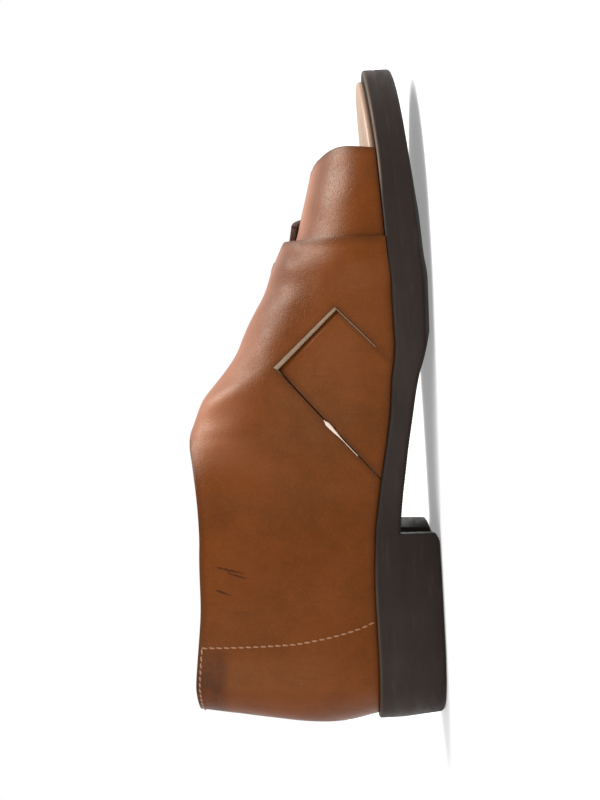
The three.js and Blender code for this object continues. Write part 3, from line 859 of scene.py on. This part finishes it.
def heel_patch(bm, side, columns, rows, cut):
    """Half of the quarters: from the middle of the heel to the throat, on one side"""
    start = turn_at(THROAT_AT / SOLE_LENGTH)

    def place(u, v):
        share = 1 - u if side > 0 else u
        turn = side * start * share
        if share < TINY:
            turn = side * TINY
        x = outline(turn).x
        girth = v if side < 0 else 2 - v
        if share > 1 - TINY:
            point = dressed(lambda h: raised(THROAT_AT, girth, h), THROAT_AT, girth, LEATHER)
        else:
            point = dressed(lambda h: raised_at_heel(turn, v, h), x, girth, LEATHER)
        stand(point, x, v)
        below = (1 - v) * station(round(turn / STATION_STEP))[1][-1]
        stain = smooth((STAIN_BELOW_COLLAR + 2 - below) / 5) * smooth((STAIN_FRONT - x) / 4)
        return point, {
            "edge": edge_burnish_and_shade(below, from_sole(v), *cut(point)),
            "stain": 0.85 * stain,
            "crest": crest_highlight(x, v),
        }

    sheet_patch(bm, columns, rows, place)


def no_cut(point):
    return ()


def slit_distances(point):
    """Distances to the lines of the slit, for the painted shade along them"""
    if point.y > 0:
        return ()
    lines = (
        (STRAP_FOOT_BACK, SLIT_TOP_BACK), (SLIT_TOP_BACK, SLIT_TOP_FRONT), (STRAP_FOOT_FRONT, SLIT_TOP_FRONT),
    )
    return [distance_to(side_view(point), a, b) + 0.5 for a, b in lines]


def outer_place(u, v):
    girth = 2 * v
    back, front = outer_back(girth), outer_front(girth)
    x = mix(back, front, u)
    height = LEATHER * (1 + outer_layers(x, girth))
    height += FRONT_LIFT * smooth(1 - (front - x) / 4) * smooth(min(girth, 2 - girth) / 0.15)
    point = dressed(lambda h: raised(x, girth, h), x, girth, height)
    stand(point, x, girth)
    behind = x - back if girth > 1 else 10
    return point, {
        "edge": edge_burnish_and_shade(front - x, behind, from_sole(girth), *slit_distances(point)),
        "pale": pale_edge(point, x, girth),
        "crest": crest_highlight(x, girth),
    }


def pale_edge(point, x, girth):
    """Raw pale edge: the slit's upper edge, and a short stretch of the panel's front edge"""
    far = distance_to(side_view(point), SLIT_TOP_BACK, SLIT_TOP_FRONT)
    slit = smooth((5 - far) / 3) if point.y < 0 else 0
    front = smooth((x - outer_front(girth) + 4) / 3) * smooth(1 - abs(girth - 0.62) / 0.16)
    return max(slit, front)


def cut_slit(bm):
    """Cuts the strap's place out of the outer side: three straight cuts seen square from that side"""
    foot_back = STRAP_FOOT_BACK + (STRAP_FOOT_BACK - SLIT_TOP_BACK).normalized() * CUT_PAST_SOLE
    foot_front = STRAP_FOOT_FRONT + (STRAP_FOOT_FRONT - SLIT_TOP_FRONT).normalized() * CUT_PAST_SOLE
    corners = (foot_back, SLIT_TOP_BACK, SLIT_TOP_FRONT, foot_front)
    low_x, high_x = foot_back.x - CUT_ROOM, SLIT_TOP_FRONT.x + CUT_ROOM
    high_z = SLIT_TOP_BACK.y + CUT_ROOM

    def middle_of(face):
        return face.calc_center_median() / MM - HOME

    def near(face):
        middle = middle_of(face)
        return middle.y < OUTER_SIDE and low_x < middle.x < high_x and middle.z < high_z

    def in_slit(face):
        middle = middle_of(face)
        here = side_view(middle)
        return middle.y < OUTER_SIDE and all(beyond(here, a, b) < 0 for a, b in zip(corners, corners[1:]))

    for a, b in zip(corners, corners[1:]):
        faces = [face for face in bm.faces if near(face)]
        edges = list({edge for face in faces for edge in face.edges})
        verts = list({vert for face in faces for vert in face.verts})
        normal = Vector((b.y - a.y, 0, a.x - b.x)).normalized()
        bmesh.ops.bisect_plane(
            bm, geom=faces + edges + verts, dist=0.01 * MM, plane_co=to_frame((a.x, 0, a.y)),
            plane_no=normal,
        )
    bmesh.ops.delete(bm, geom=[face for face in bm.faces if in_slit(face)], context="FACES")


def strap_hidden(point):
    """Share by which the strap has gone under the outer panel, past the slit's upper edge"""
    return smooth(1 + beyond(side_view(point), SLIT_TOP_BACK, SLIT_TOP_FRONT) / TUCK_LENGTH)


def inner_place(u, v):
    girth = 2 * (1 - v)
    back, front = inner_back(girth), inner_front(girth)
    if girth < SLIT_HIGH_GIRTH:
        back = on_line(girth, STRAP_FOOT_BACK, SLIT_TOP_BACK) + SLIT_GAP
    if girth < SLIT_LOW_GIRTH:
        front = on_line(girth, STRAP_FOOT_FRONT, SLIT_TOP_FRONT) - SLIT_GAP
    x = mix(back, front, 1 - u)
    height = LEATHER * (1 + on_toe_band(x, girth)) + rim_lift(x, girth)
    if girth < 1:
        hidden = strap_hidden(raised(x, girth, height))
        below = 1 - min(outer_layers(x, girth) - on_toe_band(x, girth), 1)
        height -= hidden * (LEATHER * below + TUCK_GAP)
    point = dressed(lambda h: raised(x, girth, h), x, girth, height)
    stand(point, x, girth)
    behind = x - back if girth < 1 else 10
    return point, {"edge": edge_burnish_and_shade(front - x, behind, from_sole(girth)), "crest": crest_highlight(x, girth)}


def toe_band_place(u, v):
    girth = 2 * v
    back, front = toe_band_back(girth), toe_band_front(girth)
    x = mix(back, front, u)
    point = dressed(lambda h: raised(x, girth, h), x, girth, LEATHER)
    stand(point, x, girth)
    # painted shadow on the toe band just in front of the outer panel's front edge
    shade = 3 * max(x - outer_front(girth), 0) + 0.3 if girth < 1.1 else 10
    return point, {
        "edge": edge_burnish_and_shade(front - x, shade, from_sole(girth)),
        "crest": 1.2 * crest_highlight(x, girth + 0.1),
    }


class SANDAL_OT_outer_quarter(bpy.types.Operator):
    """Outer quarter, whose panel crosses the instep on top and has the slit for the strap"""

    bl_idname = "sandal.outer_quarter"
    bl_label = "Outer quarter"

    def execute(self, context):
        bm = leather_mesh()
        heel_patch(bm, -1, 72, 56, slit_distances)
        sheet_patch(bm, 66, 112, outer_place)
        weld(bm)
        cut_slit(bm)
        give_wall(new_piece("outer_quarter", bm, ("panel", "lining", "edge"), ["upper"]))
        return {"FINISHED"}


class SANDAL_OT_inner_quarter(bpy.types.Operator):
    """Inner quarter, whose panel runs under the outer one and ends as the slanted strap"""

    bl_idname = "sandal.inner_quarter"
    bl_label = "Inner quarter and strap"

    def execute(self, context):
        bm = leather_mesh()
        heel_patch(bm, 1, 72, 112, no_cut)
        sheet_patch(bm, 80, 224, inner_place)
        weld(bm)
        give_wall(new_piece("inner_quarter", bm, ("panel", "lining", "edge"), ["upper"]))
        return {"FINISHED"}


class SANDAL_OT_toe_band(bpy.types.Operator):
    """Toe band under the front edges of both panels"""

    bl_idname = "sandal.toe_band"
    bl_label = "Toe band"

    def execute(self, context):
        bm = leather_mesh()
        sheet_patch(bm, 72, 112, toe_band_place)
        give_wall(new_piece("toe_band", bm, ("band", "lining", "edge"), ["upper"]))
        return {"FINISHED"}


def add_stitch(bm, point, along, out):
    """One stitch: a small flattened bead of thread, half sunk in the leather"""
    along = along.normalized()
    across = out.cross(along).normalized()
    turn = Matrix((along, across, out.normalized())).transposed().to_4x4()
    size = Matrix.Diagonal((look().stitch_length / 2, look().thread / 2, look().thread / 2, 1))
    place = Matrix.Translation(to_frame(point))
    bmesh.ops.create_uvsphere(bm, u_segments=8, v_segments=6, radius=1.0, matrix=place @ turn @ size
                              @ Matrix.Rotation(math.radians(90), 4, "Y"))


def sew(bm, path, slant):
    """Stitches at an even pitch along a path that gives a point and the way out of the leather"""
    points = [path(i / SEAM_SAMPLES) for i in range(SEAM_SAMPLES + 1)]
    travelled, due = 0.0, look().stitch_pitch / MM / 2
    for (a, _), (b, out) in zip(points, points[1:]):
        step = (b - a).length
        while travelled + step >= due and step > 0:
            point = a.lerp(b, (due - travelled) / step)
            along = (b - a).normalized() + out.cross(b - a).normalized() * slant
            add_stitch(bm, point, along, out)
            due += look().stitch_pitch / MM
        travelled += step


def sewn_point(turn, girth, x):
    """Point on the leather's face and the way out of it"""
    def face(height):
        return raised_at_heel(turn, girth, height)

    way_out = face(LEATHER + 1) - face(LEATHER)
    return dressed(face, x, girth if turn < 0 else 2 - girth, LEATHER), way_out


def seam_path(side):
    def path(share):
        girth = mix(0.985, 0.02, share)
        x = counter_seam(girth)
        turn = side * turn_at(x / SOLE_LENGTH)
        return sewn_point(turn, girth, x)

    return path


def collar_path(share):
    start = turn_at(counter_seam(1) / SOLE_LENGTH)
    turn = mix(-start, start, share)
    if abs(turn) < TINY:
        turn = TINY
    girth = 1 - SEAM_BELOW_COLLAR / station(round(turn / STATION_STEP))[1][-1]
    return sewn_point(turn, girth, outline(turn).x)


class SANDAL_OT_stitches(bpy.types.Operator):
    """Stitches of the counter seam on both sides and along the collar behind it"""

    bl_idname = "sandal.stitches"
    bl_label = "Stitches"

    def execute(self, context):
        bm = bmesh.new()
        for side in (-1, 1):
            sew(bm, seam_path(side), 0.1 * side)
        sew(bm, collar_path, 0.12)
        new_piece("heel_stitches", bm, ("thread",), [])
        return {"FINISHED"}


def strip_along(bm, start, end, width_at, rise, drop=0.0, shift=0.0, glint=0.0):
    """A thin strip in a gap of the outer side, along a line of the side view, one side of it dropped"""
    def place(u, v):
        on = start.lerp(end, u)
        side = Vector((end.y - start.y, start.x - end.x)).normalized()
        here = on + side * ((v - 0.5) * width_at(u) + shift)
        x = here.x
        for _ in range(2):
            low, high = -0.1, 0.9
            for _ in range(12):
                girth = (low + high) / 2
                point = raised(x, girth, LEATHER * (1 + outer_layers(x, girth)))
                low, high = (girth, high) if point.z < here.y else (low, girth)
            x += here.x - point.x
        height = LEATHER * (1 + outer_layers(x, girth)) + rise - drop * v
        return dressed(lambda h: raised(x, girth, h), x, girth, height), {"pale": 1.0, "glint": glint}

    sheet_patch(bm, 40, 2, place)


def glint_width(share):
    """Width of the pale glint at the strap's rear edge, a painted highlight for light seen through the gap:
    broad at its start with a long thin tail
    """
    return 0.2 + 1.25 * smooth(share / 0.12) * smooth((0.62 - share) / 0.5)


class SANDAL_OT_slit_edges(bpy.types.Operator):
    """Pale raw leather along the edges of the slit and the strap, and a painted glint at the strap's rear
    edge
    """

    bl_idname = "sandal.slit_edges"
    bl_label = "Slit edges"

    def execute(self, context):
        bm = bmesh.new()
        for key in ("pale", "glint"):
            bm.verts.layers.float.new(key)
        foot, top = STRAP_FOOT_BACK, SLIT_TOP_BACK
        # painted glint: a raised pale sliver standing for light seen through the gap at the strap's rear edge
        strip_along(bm, top.lerp(foot, 0.46), top.lerp(foot, 0.78), glint_width, 0.16, glint=1.0)
        strip_along(bm, top, SLIT_TOP_FRONT, lambda u: 1.3 - 0.5 * u, 0.14, 0.8, 0.3)
        strip_along(bm, SLIT_TOP_FRONT, SLIT_TOP_FRONT.lerp(STRAP_FOOT_FRONT, 0.7), lambda u: 0.22, 0.06)
        piece = new_piece("slit_edges", bm, ("edge",), [])
        wall = piece.modifiers.new("strip wall", "SOLIDIFY")
        wall.thickness = 0.4 * MM
        wall.offset = -1.0
        return {"FINISHED"}


def loft(bm, loops):
    """Skins closed loops: a grid whose columns are the loops and whose rows go round them"""
    columns, rows = len(loops) - 1, len(loops[0])
    grid = bmesh.ops.create_grid(bm, x_segments=columns, y_segments=rows, size=0.5)
    for vert in grid["verts"]:
        i, j = round((vert.co.x + 0.5) * columns), round((vert.co.y + 0.5) * rows) % rows
        put(bm, vert, *loops[i][j])
    bmesh.ops.remove_doubles(bm, verts=bm.verts, dist=0.004 * MM)
    bmesh.ops.dissolve_degenerate(bm, edges=bm.edges, dist=0.001 * MM)
    bmesh.ops.recalc_face_normals(bm, faces=bm.faces)


def plate_loop(turn, levels, hollow, across_steps):
    """Loop of one cross section from its levels (inset, height, marks), the hollow bending its bottom"""
    def rim(sign):
        found = []
        for inset, z, marks in levels:
            point = inset_outline(sign * turn, inset)
            found.append((Vector((point.x, point.y, z)), marks))
        return found

    def across(a, b, back):
        found = []
        for i in range(1, across_steps):
            share = i / across_steps
            point = a[0].lerp(b[0], share)
            point.x -= back * (1 - (2 * share - 1) ** 2)
            found.append((point, a[1]))
        return found

    outer, inner = rim(-1), rim(1)
    return [outer[0], *across(outer[0], inner[0], hollow), *inner,
            *across(inner[-1], outer[-1], 0), *reversed(outer[1:])]


def camber_at(x):
    return TREAD_CAMBER * smooth((x - TREAD_CAMBER_START) / TREAD_CAMBER_RISE)


def sole_levels(x, on_heel, tooth):
    """Side of the sole: inset and height of each level, with its parting line and edges"""
    tip = clamp((x - (HEEL_LENGTH - HEEL_TIP_ROUND)) / HEEL_TIP_ROUND)
    bottom = SOLE_EDGE_ROUND * tip * tip if on_heel else underside(x)
    top = sole_top(x)
    edge_z = bottom + (0 if on_heel else camber_at(x))
    round_ = SOLE_EDGE_ROUND
    forward = smooth((x - 170) / 50)
    parting = mix(edge_z, top, 0.6)
    groove = 0.22 * forward
    # pale top edge at the toe and the heel: partly wear, partly painted highlight
    edge_wear_and_highlight = 0.55 * smooth((x - 205) / 15) + 0.28 * smooth((80 - x) / 30)
    rows = [
        (TREAD_CAMBER_WIDTH, bottom, 0), (round_ + 3, mix(edge_z, bottom, 0.2), 0),
        (round_, edge_z + tooth * 0.5, 0), (round_ * 0.55, edge_z + round_ * 0.16 + tooth, 0),
        (round_ * 0.29, edge_z + round_ * 0.35, 0), (0.1, edge_z + round_ * 0.7, 0),
        (0, edge_z + round_, 0),
    ]
    rows += [(0, mix(edge_z, top, share), 0) for share in (0.3, 0.45)]
    rows += [
        (0, parting - 0.5, 0), (groove, parting, 0), (0, parting + 0.5, 0), (0, mix(edge_z, top, 0.78), 0),
        (0, top - 1.2, 0), (0, top - round_ * 0.45, edge_wear_and_highlight * 0.5), (round_ * 0.14, top - round_ * 0.2, edge_wear_and_highlight),
        (round_ * 0.42, top, edge_wear_and_highlight), (2.6, top, 0),
    ]

    def taper(z):
        return HEEL_TAPER * clamp(1 - z / (top * 0.63)) if on_heel else 0

    return [(inset + taper(z), z, {"edge_wear_and_highlight": mark}) for inset, z, mark in rows]


class SANDAL_OT_sole(bpy.types.Operator):
    """Moulded sole with its heel, toothed at the tread's edge"""

    bl_idname = "sandal.sole"
    bl_label = "Sole and heel"

    def execute(self, context):
        bm = bmesh.new()
        bm.verts.layers.float.new("edge_wear_and_highlight")
        breast = turn_at(HEEL_LENGTH / SOLE_LENGTH)
        turns = half_turns(SOLE_STATIONS)
        heel = [t for t in turns if t < breast - 0.001] + [breast]
        rest = [turn_at((HEEL_LENGTH + BREAST_SLANT) / SOLE_LENGTH)]
        rest += [t for t in turns if t > breast + 0.005]
        loops = []
        for on_heel, run in ((True, heel), (False, rest)):
            for i, turn in enumerate(run):
                x = outline(turn).x
                hollow = BREAST_HOLLOW * clamp(1 - abs(x - HEEL_LENGTH) / BREAST_FADE)
                tooth = 0.55 * (i % 2) * smooth((SOLE_LENGTH - x) / 6)
                loops.append(plate_loop(turn, sole_levels(x, on_heel, tooth), hollow, 12))
        loft(bm, loops)
        new_piece("sole", bm, ("sole",), ["outsole"])
        return {"FINISHED"}


class SANDAL_OT_footbed(bpy.types.Operator):
    """Leather-covered footbed with a rolled edge"""

    bl_idname = "sandal.footbed"
    bl_label = "Footbed"

    def execute(self, context):
        bm = bmesh.new()
        loops = []
        inset = LEDGE + LEATHER + GAP
        for turn in half_turns(FOOTBED_STATIONS):
            x = clamp(inset_outline(turn, inset).x, inset, SOLE_LENGTH - inset)
            base, high = seat(x) - GAP / 2, FOOTBED_THICKNESS + GAP / 2
            levels = [(inset, base, {})]
            for step in range(5):
                angle = math.pi / 2 * step / 4
                rolled, sunk = FOOTBED_ROLL * (1 - math.cos(angle)), FOOTBED_ROLL * (1 - math.sin(angle))
                levels.append((inset + rolled, base + high - sunk, {}))
            levels.append((inset + 5, base + high, {}))
            levels.append((inset + 12, base + high - 0.25, {}))
            loops.append(plate_loop(turn, levels, 0, 10))
        loft(bm, loops)
        new_piece("insole", bm, ("lining",), ["footbed"])
        return {"FINISHED"}


CAMERA_AT = (147.4, -565.2, 45.0)
CAMERA_ROLL = math.radians(3.0)
CAMERA_TILT = math.radians(5.2)
CAMERA_LENS = 62.4
CAMERA_AIM = (131, 0, 52)


def camera_rotation(position):
    """Aimed at the shoe, with the toe up in the picture and the floor on its right"""
    forward = (to_frame(CAMERA_AIM) - position).normalized()
    up = Vector((math.cos(CAMERA_ROLL), -math.sin(CAMERA_TILT) * math.sin(CAMERA_ROLL),
                 -math.sin(CAMERA_ROLL) * math.cos(CAMERA_TILT)))
    right = forward.cross(up).normalized()
    up = right.cross(forward)
    return Matrix((right, up, -forward)).transposed().to_4x4()


def add_light(name, source, kind, strength, spread):
    """A soft lamp that shines from a direction on the whole stage"""
    data = bpy.data.lights.new(name, kind)
    data.energy = strength
    data.angle = spread
    lamp = bpy.data.objects.new(name, data)
    bpy.context.scene.collection.objects.link(lamp)
    lamp.rotation_euler = Vector(source).to_track_quat("Z", "Y").to_euler()


class SANDAL_OT_stage(bpy.types.Operator):
    """Pale floor, soft lights and the camera"""

    bl_idname = "sandal.stage"
    bl_label = "Stage"

    def execute(self, context):
        scene = context.scene
        bm = bmesh.new()
        bmesh.ops.create_grid(bm, x_segments=2, y_segments=2, size=4.0)
        floor = bpy.data.meshes.new("floor")
        bm.to_mesh(floor)
        bm.free()
        floor.materials.append(material("floor"))
        stage = bpy.data.objects.new("floor", floor)
        scene.collection.objects.link(stage)
        stage.location.z = -0.0002

        world = bpy.data.worlds.new("soft_studio")
        world.use_nodes = True
        sky = world.node_tree.nodes["Background"]
        sky.inputs["Color"].default_value = (1.0, 1.0, 1.0, 1.0)
        sky.inputs["Strength"].default_value = 1.0
        scene.world = world
        add_light("window", (0.5, 0.16, 0.85), "SUN", 6.3, math.radians(40))
        add_light("rear_fill", (-0.55, -0.7, 0.45), "SUN", 2.5, math.radians(60))

        data = bpy.data.cameras.new("camera")
        data.lens = CAMERA_LENS
        data.sensor_width = 36
        camera = bpy.data.objects.new("camera", data)
        scene.collection.objects.link(camera)
        position = to_frame(CAMERA_AT)
        camera.matrix_world = Matrix.Translation(position) @ camera_rotation(position)
        scene.camera = camera
        scene.view_settings.view_transform = "Standard"
        return {"FINISHED"}


class SANDAL_PT_panel(bpy.types.Panel):
    """Lists the sandal's pieces and its sizes and colours"""

    bl_label = "Criss Cross Sandal"
    bl_idname = "SANDAL_PT_panel"
    bl_space_type = "VIEW_3D"
    bl_region_type = "UI"
    bl_category = "Sandal"

    def draw(self, context):
        for operator in OPERATORS:
            self.layout.operator(operator.bl_idname)
        for key in SandalLook.__annotations__:
            self.layout.prop(look(), key)


OPERATORS = (
    SANDAL_OT_stage, SANDAL_OT_sole, SANDAL_OT_footbed, SANDAL_OT_toe_band, SANDAL_OT_inner_quarter,
    SANDAL_OT_outer_quarter, SANDAL_OT_stitches, SANDAL_OT_slit_edges,
)
CLASSES = (SandalLook, *OPERATORS, SANDAL_PT_panel)


def register():
    for cls in CLASSES:
        bpy.utils.register_class(cls)
    bpy.types.Scene.sandal_look = bpy.props.PointerProperty(type=SandalLook)


def unregister():
    del bpy.types.Scene.sandal_look
    for cls in reversed(CLASSES):
        bpy.utils.unregister_class(cls)


def main():
    register()
    for operator in OPERATORS:
        group, name = operator.bl_idname.split(".")
        getattr(getattr(bpy.ops, group), name)()


if __name__ == "__main__":
    main()
